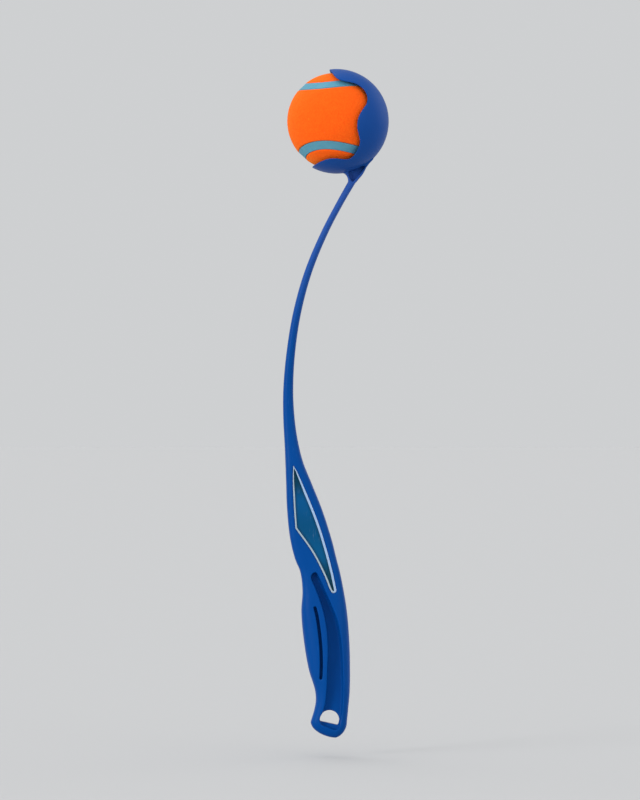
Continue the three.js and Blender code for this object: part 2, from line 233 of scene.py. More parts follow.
neck_height = butt_height + handle_length
shaft_width = 0.0055
shaft_thickness = 0.0096


def on_handle(shares):
    """Places on the handle's side view, from shares of its width and length"""
    return np.array(shares) * (handle_width, handle_length) + (0, butt_height)


def on_cup(shares):
    """Places on the cup's side view, from shares of its radius"""
    return np.array(shares) * cup_radius + (cup_centre.x, cup_centre.z)


# Handle rows: height, front edge, back edge, thickness, squareness and how far the corners are
# bevelled. A bevel of 2 just touches the corners, and one of 1 would cut them back to a diamond.
label_zone_share = 0.80
handle_row_shares = [
    (0.057, -0.342, 0.446, 0.74, 4.0, 2.2),
    (0.100, -0.263, 0.472, 0.80, 4.0, 2.2),
    (0.131, -0.231, 0.490, 0.86, 3.8, 2.2),
    (0.167, -0.247, 0.506, 0.91, 3.6, 2.2),
    (0.238, -0.378, 0.513, 0.97, 3.4, 2.2),
    (0.344, -0.490, 0.497, 1.00, 3.4, 2.2),
    (0.450, -0.544, 0.443, 0.93, 4.0, 2.3),
    (0.521, -0.519, 0.373, 0.84, 5.0, 2.4),
    (0.592, -0.575, 0.285, label_zone_share, 5.6, 2.4),
    (0.627, -0.666, 0.228, label_zone_share, 5.6, 2.4),
    (0.698, -0.778, 0.120, label_zone_share, 5.6, 2.4),
    (0.805, -0.851, -0.087, label_zone_share, 5.6, 2.4),
    (0.911, -0.875, -0.345, label_zone_share, 5.6, 2.2),
    (0.972, -0.889, -0.496, 0.77, 5.6, 1.95),
]
# Shaft rows: height, centre, width, thickness, squareness and bevel, from neck to cup.
shaft_row_shares = [
    (0.045, -0.028, 1.72, 1.26, 6.5, 1.75),
    (0.127, -0.067, 1.44, 1.02, 8.0, 1.58),
    (0.236, -0.082, 1.25, 1.00, 9.0, 1.52),
    (0.381, -0.035, 1.08, 1.00, 9.0, 1.50),
    (0.527, 0.074, 1.01, 1.00, 9.0, 1.50),
    (0.673, 0.262, 0.96, 1.00, 9.0, 1.50),
    (0.818, 0.542, 0.92, 1.00, 9.0, 1.50),
    (0.927, 0.806, 0.94, 1.00, 8.0, 1.60),
    (1.000, 1.000, 1.02, 1.00, 6.0, 1.80),
]
neck_across_share = -0.722
shaft_root_share = (0.323, -1.147)
root_across, root_height = on_cup(shaft_root_share)
neck_across = neck_across_share * handle_width

wand_rows = []
for up, front, back, thick, square, bevel in handle_row_shares:
    (front_edge, height), (back_edge, _) = on_handle([(front, up), (back, up)])
    half_thickness = thick * handle_thickness / 2
    wand_rows.append((height, front_edge, back_edge, half_thickness, square, bevel))
for up, across, wide, thick, square, bevel in shaft_row_shares:
    centre = neck_across + (root_across - neck_across) * across
    height = neck_height + (root_height - neck_height) * up
    half_width = wide * shaft_width / 2
    half_thickness = thick * shaft_thickness / 2
    front_edge, back_edge = centre - half_width, centre + half_width
    wand_rows.append((height, front_edge, back_edge, half_thickness, square, bevel))
wand_rows = np.array(wand_rows)


def rows_at(heights):
    """The slice at each height, on a smooth curve through the rows"""
    known, values = wand_rows[:, 0], wand_rows[:, 1:]
    steps = np.diff(known)[:, None]
    rise = np.diff(values, axis=0) / steps
    slopes = np.vstack([rise[:1], (rise[1:] + rise[:-1]) / 2, rise[-1:]])
    k = np.clip(np.searchsorted(known, heights) - 1, 0, len(known) - 2)
    p = ((heights - known[k]) / steps[k, 0])[:, None]
    ease = p * p * (3 - 2 * p)
    return (
        values[k] * (1 - ease) + values[k + 1] * ease
        + steps[k] * p * (1 - p) * ((1 - p) * slopes[k] - p * slopes[k + 1])
    )


ring_points = 72
slice_step = 0.0015


def slices(heights, rows):
    """Level slices of the wand, as rings of points"""
    turn = (np.arange(ring_points) + 0.5) / ring_points * 2 * np.pi
    c, s = np.cos(turn), np.sin(turn)
    front, back, half, square, bevel = rows.T[:, :, None]
    sides = np.abs(c) ** square + np.abs(s) ** square
    corners = ((np.abs(c) + np.abs(s)) / bevel) ** square
    reach = ((sides + corners) / (1 + bevel ** -square)) ** (-1 / square)
    x = (front + back) / 2 + c * reach * (back - front) / 2
    return np.stack([x, s * reach * half, heights[:, None] + 0 * x], axis=-1)


def lofted(name, rings):
    """A closed skin through rings of points, with both ends covered"""
    count, points = rings.shape[:2]
    faces = []
    for r in range(count - 1):
        low, high = r * points, (r + 1) * points
        for k in range(points):
            after = (k + 1) % points
            faces.append((low + k, low + after, high + after, high + k))
    faces += [range(points), range((count - 1) * points, count * points)]
    return piece_from(name, rings.reshape(-1, 3), faces)


# The butt is a rounded cap below the lowest row, whose slices shrink and lean to the back.
cap_height = 0.011
cap_rings = 24
cap_first_ring = 0.25
cap_lean_share = 0.142
cap_spread_power = 1.25
cap_thick_power = 0.45
cap_turn = (np.arange(cap_rings) + cap_first_ring) / cap_rings * np.pi / 2
cap_spread = np.sin(cap_turn) ** cap_spread_power
cap_levels = butt_height + cap_height * (1 - np.cos(cap_turn))
cap_rows = np.repeat(rows_at(np.array([butt_height + cap_height])), cap_rings, axis=0)
cap_middle = cap_rows[:, :2].mean(axis=1) + (1 - cap_spread) * cap_lean_share * handle_width
cap_reach = (cap_rows[:, 1] - cap_rows[:, 0]) / 2 * cap_spread
cap_rows[:, 0] = cap_middle - cap_reach
cap_rows[:, 1] = cap_middle + cap_reach
cap_rows[:, 2] *= cap_spread ** cap_thick_power
slice_count = round((root_height - butt_height - cap_height) / slice_step)
body_levels = np.linspace(butt_height + cap_height, root_height, slice_count)
wand = lofted(
    "wand_moulding",
    np.concatenate([slices(cap_levels, cap_rows), slices(body_levels, rows_at(body_levels))]),
)

# The cup is a moulded shell round the ball, thicker at the back, with two side lobes and two
# fingers that spring over the ball. A gusset of two flanges and a thin web braces it where the
# shaft comes in.
mouth_edge_shares = [
    (-0.121, 0.979), (0.010, 0.792), (0.140, 0.726), (0.364, 0.679), (0.514, 0.588),
    (0.595, 0.457), (0.595, 0.307), (0.514, 0.177), (0.428, 0.010), (0.411, -0.177),
    (0.447, -0.344), (0.462, -0.455), (0.411, -0.586), (0.327, -0.706), (0.214, -0.758),
    (-0.084, -0.743), (-0.268, -0.790), (-0.455, -0.874),
]
mouth_outer_shares = [(-0.340, -1.040), (-1.300, -1.200), (-1.300, 1.200), (-0.180, 1.200)]
gusset_edge_shares = [
    (0.110, -0.970), (0.175, -0.998), (0.212, -1.035), (0.236, -1.090), (0.245, -1.160),
    (0.305, -1.235), (0.402, -1.160), (0.440, -1.110), (0.508, -1.035), (0.556, -0.955),
    (0.594, -0.875), (0.650, -0.800), (0.722, -0.725), (0.760, -0.620), (0.600, -0.740),
    (0.200, -0.940),
]
gusset_pocket_shares = [
    (0.235, -0.930), (0.262, -1.060), (0.300, -1.135), (0.334, -1.172), (0.372, -1.120),
    (0.440, -1.048), (0.512, -0.955), (0.575, -0.850),
]
gusset_web = 0.0016
release_clearance = 0.0002
mouth_tilt = math.radians(10.2)
outline_step = 0.0008
cutter_overrun = 0.005
sphere_sides = 192


def through(points, step, closed=False):
    """A smooth line through points in the side view, cut into stretches of about one step"""
    points = np.asarray(points, float)
    around = [points[-1:], points, points[:2]] if closed else [points[:1], points, points[-1:]]
    around = np.vstack(around)
    spans = len(around) - 3
    length = np.linalg.norm(np.diff(around[1:-1], axis=0), axis=1).sum()
    places = np.linspace(0, spans, round(length / step) + 1)
    places = places[:-1] if closed else places
    k = np.minimum(places.astype(int), spans - 1)
    f = (places - k)[:, None]
    a, b, c, d = around[k], around[k + 1], around[k + 2], around[k + 3]
    return b + f / 2 * (c - a + f * (2 * a - 5 * b + 4 * c - d + f * (3 * b - a - 3 * c + d)))


def slab(name, outline, from_y, to_y):
    """A side outline drawn out across the wand, from one Y to another"""
    rings = np.array([[(x, y, z) for x, z in outline] for y in (from_y, to_y)])
    return lofted(name, rings)


def settle(body):
    """Works the body's modifiers into its mesh"""
    graph = bpy.context.evaluated_depsgraph_get()
    mesh = bpy.data.meshes.new_from_object(body.evaluated_get(graph))
    body.modifiers.clear()
    body.data = mesh


def worked(body, tools, operation):
    """The body with each tool joined on or cut away, and the tools put away"""
    for tool in tools:
        step = body.modifiers.new(tool.name, "BOOLEAN")
        step.object = tool
        step.operation = operation
        step.solver = "MANIFOLD"
    settle(body)
    for tool in tools:
        bpy.data.objects.remove(tool)


def globe(name, radius, set_back=0):
    """A sphere round the cup's centre, or set back from it"""
    made = piece_from(name, [], [])
    shape = bmesh.new()
    bmesh.ops.create_uvsphere(
        shape, u_segments=sphere_sides, v_segments=sphere_sides // 2, radius=radius,
        matrix=Matrix.Translation(cup_centre + Vector((set_back, 0, 0))),
    )
    shape.to_mesh(made.data)
    shape.free()
    return made


def turned_towards(direction):
    """The turn that lays +Z along a direction"""
    return direction.to_track_quat("Z", "Y").to_matrix().to_4x4()


way_out = Vector((-math.cos(mouth_tilt), 0, math.sin(mouth_tilt)))
bore_length = cup_radius + cutter_overrun
bore_radius = ball_radius + release_clearance
bore_place = Matrix.Translation(cup_centre + way_out * bore_length / 2)
exit_bore = piece_from("exit_bore", [], [])
shape = bmesh.new()
bmesh.ops.create_cone(
    shape, cap_ends=True, segments=sphere_sides, depth=bore_length,
    radius1=bore_radius, radius2=bore_radius, matrix=bore_place @ turned_towards(way_out),
)
shape.to_mesh(exit_bore.data)
shape.free()

half_shaft = shaft_thickness / 2
gusset = slab("gusset", on_cup(gusset_edge_shares), -half_shaft, half_shaft)
worked(wand, [gusset], "UNION")
pocket_outline = on_cup(gusset_pocket_shares)
worked(wand, [
    slab("near_pocket", pocket_outline, -shaft_thickness, -gusset_web / 2),
    slab("far_pocket", pocket_outline, gusset_web / 2, shaft_thickness),
], "DIFFERENCE")
worked(wand, [globe("cup_outside", cup_radius, cup_back_extra)], "UNION")
mouth_edge = through(on_cup(mouth_edge_shares), outline_step)
mouth_line = np.vstack([mouth_edge, on_cup(mouth_outer_shares)])
mouth_half = cup_radius + cutter_overrun
worked(wand, [
    globe("cup_inside", cup_bore), exit_bore, slab("mouth", mouth_line, -mouth_half, mouth_half),
], "DIFFERENCE")

# The mould cores the handle out from both sides to keep its walls thin: a long channel, a grip
# slit, a seat for each label, and a hang hole with one flat side that goes right through.
channel_edge_shares = [
    (-0.338, 0.570), (-0.218, 0.520), (-0.101, 0.466), (-0.024, 0.414), (0.017, 0.363),
    (0.030, 0.302), (0.017, 0.243), (0.002, 0.178), (-0.040, 0.118), (-0.140, 0.066),
    (-0.110, 0.047), (0.060, 0.034), (0.230, 0.026), (0.322, 0.050), (0.358, 0.105),
    (0.372, 0.178), (0.362, 0.264), (0.330, 0.337), (0.268, 0.402), (0.150, 0.458),
    (-0.010, 0.518), (-0.138, 0.566), (-0.232, 0.588),
]
channel_web = 0.0064
slit_route_shares = [
    (-0.247, 0.462), (-0.200, 0.430), (-0.160, 0.386), (-0.127, 0.337), (-0.111, 0.286),
    (-0.111, 0.243), (-0.120, 0.213),
]
slit_width = 0.002
slit_depth = 0.0055
hole_place_share = (0.065, 0.0642)
hole_radius = 0.0066
hole_flat_drop = 0.0023
hole_tilt = math.radians(12.7)
hole_points = 60
round_end_points = 14


def outward(outline):
    """The direction out of a closed outline at each of its points"""
    along = np.roll(outline, -1, axis=0) - np.roll(outline, 1, axis=0)
    along /= np.linalg.norm(along, axis=1)[:, None]
    x, z = outline.T
    area = (x * np.roll(z, -1) - np.roll(x, -1) * z).sum()
    return np.stack([along[:, 1], -along[:, 0]], axis=1) * np.sign(area)


# The channel's front wall is steep, its back wall is swept a little where it meets the floor, and
# its end slopes in to the hang hole's flat side.
channel_draft = 0.0004
channel_sweep = 0.0013
channel_slope = 0.0008
channel_levels = 14
channel_line = through(on_handle(channel_edge_shares), outline_step, closed=True)
channel_out = outward(channel_line)
towards_back = np.clip(channel_out[:, :1], 0, 1) ** 2
towards_butt = np.clip(-channel_out[:, 1:], 0, 1) ** 4


def channel_cutter(name, side):
    """A cutter for one side, wide at the handle's face and drawn in towards the web"""
    rings = []
    for level in np.linspace(0, 1, channel_levels):
        depth = level * (handle_thickness - channel_web) / 2
        swept = 1 - math.sqrt(1 - level ** 2)
        inset = (
            channel_draft * level + channel_sweep * swept * towards_back
            + channel_slope * level * towards_butt
        )
        y = side * (handle_thickness / 2 - depth)
        rings.append([(x, y, z) for x, z in channel_line - channel_out * inset])
    outer = [(x, side * (handle_thickness / 2 + cutter_overrun), z) for x, z in channel_line]
    return lofted(name, np.array([outer] + rings))


def groove(route, width):
    """The outline of a round-ended groove along a line"""
    along = np.gradient(route, axis=0)
    along /= np.linalg.norm(along, axis=1)[:, None]
    across = np.stack([-along[:, 1], along[:, 0]], axis=1) * width / 2
    turns = np.linspace(0, np.pi, round_end_points)[1:-1, None]
    far_end = route[-1] + across[-1] * np.cos(turns) + along[-1] * np.sin(turns) * width / 2
    near_end = route[0] - across[0] * np.cos(turns) - along[0] * np.sin(turns) * width / 2
    return np.vstack([route + across, far_end, (route - across)[::-1], near_end])


slit_line = groove(through(on_handle(slit_route_shares), outline_step), slit_width)
flat_angle = math.asin(hole_flat_drop / hole_radius)
hole_turns = np.linspace(-flat_angle, math.pi + flat_angle, hole_points) - hole_tilt
hole_round = np.stack([np.cos(hole_turns), np.sin(hole_turns)], axis=1)
hole_line = on_handle(hole_place_share) + hole_radius * hole_round

label_thickness = 0.0006
label_sink = 0.0002
label_glue = 0.0001
label_clearance = 0.0003
label_tip_radius = 0.0019
label_face = label_zone_share * handle_thickness / 2 - label_sink
label_seat = label_face - label_thickness
label_front_shares = [(-0.715, 0.9645), (-0.722, 0.900), (-0.700, 0.815), (-0.668, 0.742)]
label_lower_shares = [(-0.668, 0.742), (-0.312, 0.660), (-0.063, 0.582), (0.068, 0.529)]
label_tip_share = (0.154, 0.524)
label_tip_from, label_tip_to = 1.16, 2.06
label_back_shares = [
    (0.142, 0.582), (0.041, 0.646), (-0.104, 0.727), (-0.250, 0.795), (-0.456, 0.877),
    (-0.640, 0.945),
]
label_tip_turns = np.linspace(label_tip_from, label_tip_to, round_end_points)[:, None] * np.pi
label_tip_round = np.hstack([np.cos(label_tip_turns), np.sin(label_tip_turns)])
label_line = np.vstack([
    through(on_handle(label_front_shares), outline_step),
    through(on_handle(label_lower_shares), outline_step)[1:],
    on_handle(label_tip_share) + label_tip_radius * label_tip_round,
    through(on_handle(label_back_shares), outline_step),
])
label_pocket_line = label_line + outward(label_line) * label_clearance

face = handle_thickness / 2 + cutter_overrun
recesses = [slab("hang_hole", hole_line, -face, face)]
for side in (-1, 1):
    recesses += [
        channel_cutter("channel", side),
        slab("slit", slit_line, side * (handle_thickness / 2 - slit_depth), side * face),
        slab("label_pocket", label_pocket_line, side * (label_seat - label_glue), side * face),
    ]
worked(wand, recesses, "DIFFERENCE")

# Polishing the mould softens every edge of the wand, so the whole moulding is skinned again in
# fine steps, eased, most of all at the gusset and the cup's mouth, and thinned out elsewhere. The
# steps are laid askew to the wand, so that no long edge runs along them and shows a stair.
skin_step = 0.0003
skin_lie = Vector((1.0, 1.2, 1.1))
easing_rounds = 16
gusset_middle = on_cup((0.38, -1.06))
gusset_reach = 0.0125
mouth_reach = 0.0018
mouth_share = 0.5
fillet_rounds = 60
skin_share = 0.155


def without_crumbs(body):
    """Leaves the body's largest connected part, without the crumbs that a new skin can leave"""
    shape = bmesh.new()
    shape.from_mesh(body.data)
    unseen = set(shape.verts)
    parts = []
    while unseen:
        part, front = set(), {unseen.pop()}
        while front:
            part |= front
            front = {edge.other_vert(vert) for vert in front for edge in vert.link_edges} - part
            unseen -= front
        parts.append(part)
    parts.sort(key=len)
    crumbs = [vert for part in parts[:-1] for vert in part]
    bmesh.ops.delete(shape, geom=crumbs, context="VERTS")
    shape.to_mesh(body.data)
    shape.free()


askew = turned_towards(skin_lie)
wand.data.transform(askew)
skin = wand.modifiers.new("skin", "REMESH")
skin.mode = "VOXEL"
skin.voxel_size = skin_step
easing = wand.modifiers.new("easing", "SMOOTH")
easing.iterations = easing_rounds
settle(wand)
wand.data.transform(askew.inverted())
places = np.empty(len(wand.data.vertices) * 3, np.float32)
wand.data.vertices.foreach_get("co", places)
places = places.reshape(-1, 3)[:, ::2]
share = 1 - (np.linalg.norm(places - gusset_middle, axis=1) / gusset_reach) ** 2
high = places[:, 1] > cup_centre.z - cup_radius
from_mouth = [np.linalg.norm(places[high] - point, axis=1) for point in mouth_line]
from_mouth = np.min(from_mouth, axis=0)
share[high] = np.maximum(share[high], mouth_share * (1 - (from_mouth / mouth_reach) ** 2))
fillets = wand.vertex_groups.new(name="fillets")
for index in np.flatnonzero(share > 0).tolist():
    fillets.add([index], float(share[index]), "REPLACE")
filleting = wand.modifiers.new("filleting", "SMOOTH")
filleting.vertex_group = fillets.name
filleting.iterations = fillet_rounds
thinning = wand.modifiers.new("thinning", "DECIMATE")
thinning.ratio = skin_share
thinning.vertex_group = fillets.name
thinning.invert_vertex_group = True
settle(wand)
wand.vertex_groups.clear()
without_crumbs(wand)
wand.data.shade_smooth()


def group(name, inputs, outputs):
    """A shader node group with named number inputs and outputs"""
    tree = bpy.data.node_groups.new(name, "ShaderNodeTree")
    for socket in inputs:
        tree.interface.new_socket(socket, in_out="INPUT", socket_type="NodeSocketFloat")
    for socket in outputs:
        tree.interface.new_socket(socket, in_out="OUTPUT", socket_type="NodeSocketFloat")
    nodes = Nodes(tree)
    return tree, nodes, nodes.add("NodeGroupInput").outputs, nodes.add("NodeGroupOutput")


# Moulded grain: the fine unevenness of a moulded skin, and broad soft drifts of flow in it.
moulded_grain, nodes, given, result = group(
    "Moulded grain", ["Grain per metre", "Flow per metre"], ["Grain", "Flow"],
)
place = nodes.add("ShaderNodeTexCoord").outputs["Object"]
fine = nodes.add(
    "ShaderNodeTexNoise", {"Detail": 3, "Roughness": 0.6},
    {"Vector": place, "Scale": given["Grain per metre"]},
)
broad = nodes.add(
    "ShaderNodeTexNoise", {"Detail": 2, "Distortion": 0.6},
    {"Vector": place, "Scale": given["Flow per metre"]},
)
nodes.feed(result, {"Grain": fine.outputs["Fac"], "Flow": broad.outputs["Fac"]})

# Scuffs: short fine scratches in two crossing directions, scattered in patches.
scratch_turns = (0.4, -1.1)
scratch_tilt = 0.3
scratch_thin = 0.06
scratch_floor, scratch_top = 0.70, 0.76
patches_per_metre = 45
patch_floor, patch_top = 0.45, 0.65
scuffs, nodes, given, result = group("Scuffs", ["Per metre", "Amount"], ["Scuff"])
place = nodes.add("ShaderNodeTexCoord").outputs["Object"]
scratches = []
for turn in scratch_turns:
    lie = {"Rotation": (scratch_tilt, turn, 0), "Scale": (1, 1, scratch_thin)}
    laid = nodes.add("ShaderNodeMapping", lie, {"Vector": place}).outputs[0]
    streaks = nodes.add(
        "ShaderNodeTexNoise", {"Detail": 1}, {"Vector": laid, "Scale": given["Per metre"]},
    )
    scratches.append(rescaled(nodes, streaks.outputs["Fac"], (scratch_floor, scratch_top)))
patches = nodes.add(
    "ShaderNodeTexNoise", {"Scale": patches_per_metre, "Detail": 2}, {"Vector": place},
)
in_patch = rescaled(nodes, patches.outputs["Fac"], (patch_floor, patch_top))
scuff = maths(nodes, "MULTIPLY", maths(nodes, "MAXIMUM", *scratches), in_patch)
nodes.feed(result, {"Scuff": maths(nodes, "MULTIPLY", scuff, given["Amount"])})


def finish(name, **numbers):
    """An empty material with its shader, whose plain numbers sit on the shader's own sockets"""
    material = bpy.data.materials.new(name)
    material.use_nodes = True
    material.node_tree.nodes.clear()
    nodes = Nodes(material.node_tree)
    values = {key.replace("_", " "): value for key, value in numbers.items()}
    shader = nodes.add("ShaderNodeBsdfPrincipled", values)
    nodes.add("ShaderNodeOutputMaterial", links={"Surface": shader.outputs[0]})
    return material, nodes, shader


def mixed(nodes, share, one, other):
    """A colour between two others"""
    values, links = {}, {0: share}
    for socket, colour in ((6, one), (7, other)):
        (values if isinstance(colour, tuple) else links)[socket] = colour
    return nodes.add("ShaderNodeMix", values, links, data_type="RGBA").outputs[2]


def raised(nodes, height, distance, strength=1, over=None):
    """The lie of a surface that a height lifts by up to a distance, over another lie"""
    links = {"Height": height} if over is None else {"Height": height, "Normal": over}
    values = {"Distance": distance, "Strength": strength}
    return nodes.add("ShaderNodeBump", values, links).outputs[0]


# The plastic is satin, with faint flow marks, scuffs and the mould's parting line. Up the shaft its
# colour is painted a paler blue, a painted highlight, and less so at the cup.
deep_blue = (0.0003, 0.055, 0.262, 1)
light_blue = (0.0006, 0.065, 0.290, 1)
scuffed_blue = (0.03, 0.13, 0.42, 1)
shaft_highlight_blue = (0.024, 0.082, 0.335, 1)
satin_smooth, satin_rough = 0.34, 0.42
shaft_highlight_from, shaft_highlight_to = 0.190, 0.320
cup_highlight_from, cup_highlight_to = 0.318, 0.330
highlight_share_at_cup = 0.35
parting_line_half = 0.00012
parting_line_rise = 0.00006
grain_depth = 0.00003
wand_plastic, nodes, shader = finish("wand_plastic", IOR=1.49, Specular_IOR_Level=0.05)
grain = nodes.add(
    "ShaderNodeGroup", {"Grain per metre": 1400, "Flow per metre": 38}, node_tree=moulded_grain,
).outputs
marks = nodes.add(
    "ShaderNodeGroup", {"Per metre": 2600, "Amount": 0.35}, node_tree=scuffs,
).outputs
place = place_on(nodes)
plain = mixed(nodes, grain["Flow"], deep_blue, light_blue)
# Painted highlight: the shaft's blue is lightened with height, and less so at the cup.
shaft_highlight_share = rescaled(
    nodes, place["Z"], (shaft_highlight_from, shaft_highlight_to), interpolation_type="SMOOTHSTEP",
)
below_cup = rescaled(
    nodes, place["Z"], (cup_highlight_from, cup_highlight_to), (1, highlight_share_at_cup),
    interpolation_type="SMOOTHSTEP",
)
plain = mixed(nodes, maths(nodes, "MULTIPLY", shaft_highlight_share, below_cup), plain, shaft_highlight_blue)
off_line = maths(nodes, "ABSOLUTE", place["Y"])
ridge = raised(nodes, rescaled(nodes, off_line, (0, parting_line_half), (1, 0)), parting_line_rise)
nodes.feed(shader, {
    "Base Color": mixed(nodes, marks["Scuff"], plain, scuffed_blue),
    "Roughness": rescaled(nodes, grain["Flow"], wanted=(satin_smooth, satin_rough)),
    "Normal": raised(nodes, grain["Grain"], grain_depth, strength=0.7, over=ridge),
})
wand.data.materials.clear()
wand.data.materials.append(wand_plastic)
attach(wand, "wand")
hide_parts("wand")

# Handle labels
# Each label is a thin kite-shaped plate, glued into its seat: a dark teal face inside a raised
# silver-blue edge, which is widest along the back of the handle and thins towards the top point.
# The edge is painted greyer along the front and bluer along the back, as painted shade and light,
# and the face is painted darker just inside the edge, as painted shade.
label_rows = 320
label_columns = 72
row_crowding = 0.13
column_crowding = 0.1
edge_relief = 0.00016
edge_slope = 0.0002
edge_blend = 9
plate_round = 0.00018
back_edge_width = 0.0017
lower_edge_width = 0.0013
front_edge_width = 0.0012
top_taper_share = 0.22
top_thin_share = 0.45
label_bottom = int(label_line[:, 1].argmin())
label_low, label_high = label_line[label_bottom, 1], label_line[0, 1]
front_chain = label_line[label_bottom::-1]
back_chain = np.vstack([label_line[label_bottom:], label_line[:1]])
row_shares = np.linspace(0, 1, label_rows + 1)
crowded_rows = row_shares - row_crowding * np.sin(2 * np.pi * row_shares)
row_heights = label_low + (label_high - label_low) * crowded_rows
column_shares = np.linspace(0, 1, label_columns + 1)
column_shares -= column_crowding * np.sin(2 * np.pi * column_shares)


def edge_widths():
    """How wide the silver edge is at each point of the label's outline"""
    height = label_line[:, 1]
    at_corner = on_handle(label_lower_shares)[0, 1]
    width = np.where(height > at_corner, front_edge_width, lower_edge_width)
    width[label_bottom:] = back_edge_width
    around = np.concatenate([width[-edge_blend:], width, width[:edge_blend]])
    blended = np.convolve(around, np.ones(edge_blend) / edge_blend, "same")
    width = blended[edge_blend:-edge_blend]
    below_top = (label_high - height) / (label_high - label_low) / top_taper_share
    return width * (top_thin_share + (1 - top_thin_share) * np.clip(below_top, 0, 1))


def label_plate(name, side):
    """One label as a closed plate, whose points know how far inside the edge and across they lie"""
    front = np.interp(row_heights, front_chain[:, 1], front_chain[:, 0])
    back = np.interp(row_heights, back_chain[:, 1], back_chain[:, 0])
    x = front[:, None] + (back - front)[:, None] * column_shares
    spots = np.stack([x, row_heights[:, None] + 0 * x], axis=-1).reshape(-1, 2)
    starts, ends = label_line, np.roll(label_line, -1, axis=0)
    along = ends - starts
    share = ((spots[:, None] - starts) * along).sum(axis=2) / (along ** 2).sum(axis=1)
    nearest = starts + np.clip(share, 0, 1)[:, :, None] * along
    gaps = np.linalg.norm(spots[:, None] - nearest, axis=2)
    inside = gaps.min(axis=1)
    past_edge = inside - edge_widths()[gaps.argmin(axis=1)]
    relief = edge_relief * np.clip(-past_edge / edge_slope, 0, 1)
    rounding = plate_round * (1 - np.sqrt(1 - (1 - np.clip(inside / plate_round, 0, 1)) ** 2))
    top = side * (label_face + relief - rounding)
    points = [(x, y, z) for (x, z), y in zip(spots, top)]
    for edge in (front, back):
        points += [(x, side * label_seat, z) for x, z in zip(edge, row_heights)]
    across, rows = label_columns + 1, label_rows + 1
    front_seat, back_seat = across * rows, across * rows + rows
    faces = []
    for i in range(label_rows):
        for j in range(label_columns):
            corner = i * across + j
            faces.append((corner, corner + 1, corner + across + 1, corner + across))
        low, high = i * across, (i + 1) * across
        faces.append((low, high, front_seat + i + 1, front_seat + i))
        faces.append((low + label_columns, back_seat + i, back_seat + i + 1, high + label_columns))
        faces.append((front_seat + i, front_seat + i + 1, back_seat + i + 1, back_seat + i))
    return piece_from(name, points, faces, {
        "past_edge": np.concatenate([past_edge, np.full(2 * rows, -edge_slope)]),
        "across_plate": np.concatenate([
            np.tile(column_shares, rows), np.zeros(rows), np.ones(rows),
        ]),
    })


silver_in_painted_shade, silver_in_painted_light = (0.50, 0.62, 0.70, 1), (0.48, 0.68, 1.0, 1)
scuffed_silver = (0.5, 0.6, 0.7, 1)
edge_shine = 0.35
edge_softness = 0.00004
shade_reach = 0.0018
shade_share = 0.5
film_smooth, film_rough = 0.24, 0.36
film_grain_depth = 0.00001
face_colours = [
    (0.00, (0.002, 0.027, 0.042, 1)), (0.14, (0.001, 0.048, 0.100, 1)),
    (0.30, (0, 0.086, 0.225, 1)), (0.52, (0, 0.072, 0.190, 1)), (0.72, (0, 0.082, 0.240, 1)),
    (0.88, (0.001, 0.044, 0.095, 1)), (1.00, (0.003, 0.016, 0.028, 1)),
]
label_film, nodes, shader = finish("label_film", Specular_IOR_Level=0.15)
height_share = rescaled(nodes, place_on(nodes)["Z"], (float(label_low), float(label_high)))
ramp = nodes.add("ShaderNodeValToRGB", links={"Fac": height_share})
ramp.color_ramp.interpolation = "EASE"
ramp.color_ramp.elements[1].position = 1
for share, colour in face_colours[1:-1]:
    ramp.color_ramp.elements.new(share)
for stop, (share, colour) in zip(ramp.color_ramp.elements, face_colours):
    stop.position, stop.color = share, colour
past_edge = nodes.add("ShaderNodeAttribute", attribute_name="past_edge").outputs["Fac"]
across_plate = nodes.add("ShaderNodeAttribute", attribute_name="across_plate").outputs["Fac"]
edge_ends = (-edge_slope - edge_softness, -edge_slope + edge_softness)
on_edge = rescaled(nodes, past_edge, edge_ends, (1, 0))
grain = nodes.add(
    "ShaderNodeGroup", {"Grain per metre": 5200, "Flow per metre": 160}, node_tree=moulded_grain,
).outputs
marks = nodes.add(
    "ShaderNodeGroup", {"Per metre": 3200, "Amount": 0.25}, node_tree=scuffs,
).outputs
# Painted shade: the face is darkened just inside the edge.
painted_shade_by_edge = rescaled(nodes, past_edge, (0, shade_reach), (shade_share, 0))
shaded = mixed(nodes, painted_shade_by_edge, ramp.outputs["Color"], face_colours[0][1])
# The edge is painted greyer along the front and bluer along the back: painted shade and light.
inked = mixed(nodes, on_edge, shaded, mixed(nodes, across_plate, silver_in_painted_shade, silver_in_painted_light))
nodes.feed(shader, {
    "Base Color": mixed(nodes, marks["Scuff"], inked, scuffed_silver),
    "Roughness": rescaled(nodes, grain["Flow"], wanted=(film_smooth, film_rough)),
    "Metallic": rescaled(nodes, on_edge, wanted=(0, edge_shine)),
    "Normal": raised(nodes, grain["Grain"], film_grain_depth, strength=0.5),
})

for name, side in (("near", -1), ("far", 1)):
    plate = label_plate(f"label_plate_{name}", side)
    plate.data.materials.append(label_film)
    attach(plate, "wand")
    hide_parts(f"label_{name}")

# Ball core
# Inside the felt the ball is two moulded cups of dark rubber, glued rim to rim. Their CAD solids
# are kept, with a dull, slightly dusty rubber, and nothing of them shows while the felt is on.
core_dark, core_dusty = (0.018, 0.016, 0.015, 1), (0.050, 0.046, 0.042, 1)
core_grain_depth = 0.00008
core_rubber, nodes, shader = finish("core_rubber", Roughness=0.82, Specular_IOR_Level=0.3)
grain = nodes.add(
    "ShaderNodeGroup", {"Grain per metre": 1100, "Flow per metre": 90}, node_tree=moulded_grain,
).outputs
nodes.feed(shader, {
    "Base Color": mixed(nodes, grain["Flow"], core_dark, core_dusty),
    "Normal": raised(nodes, grain["Grain"], core_grain_depth),
})
for name in ("core_half_a", "core_half_b"):
    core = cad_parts[name]
    core.data.materials.clear()
    core.data.materials.append(core_rubber)

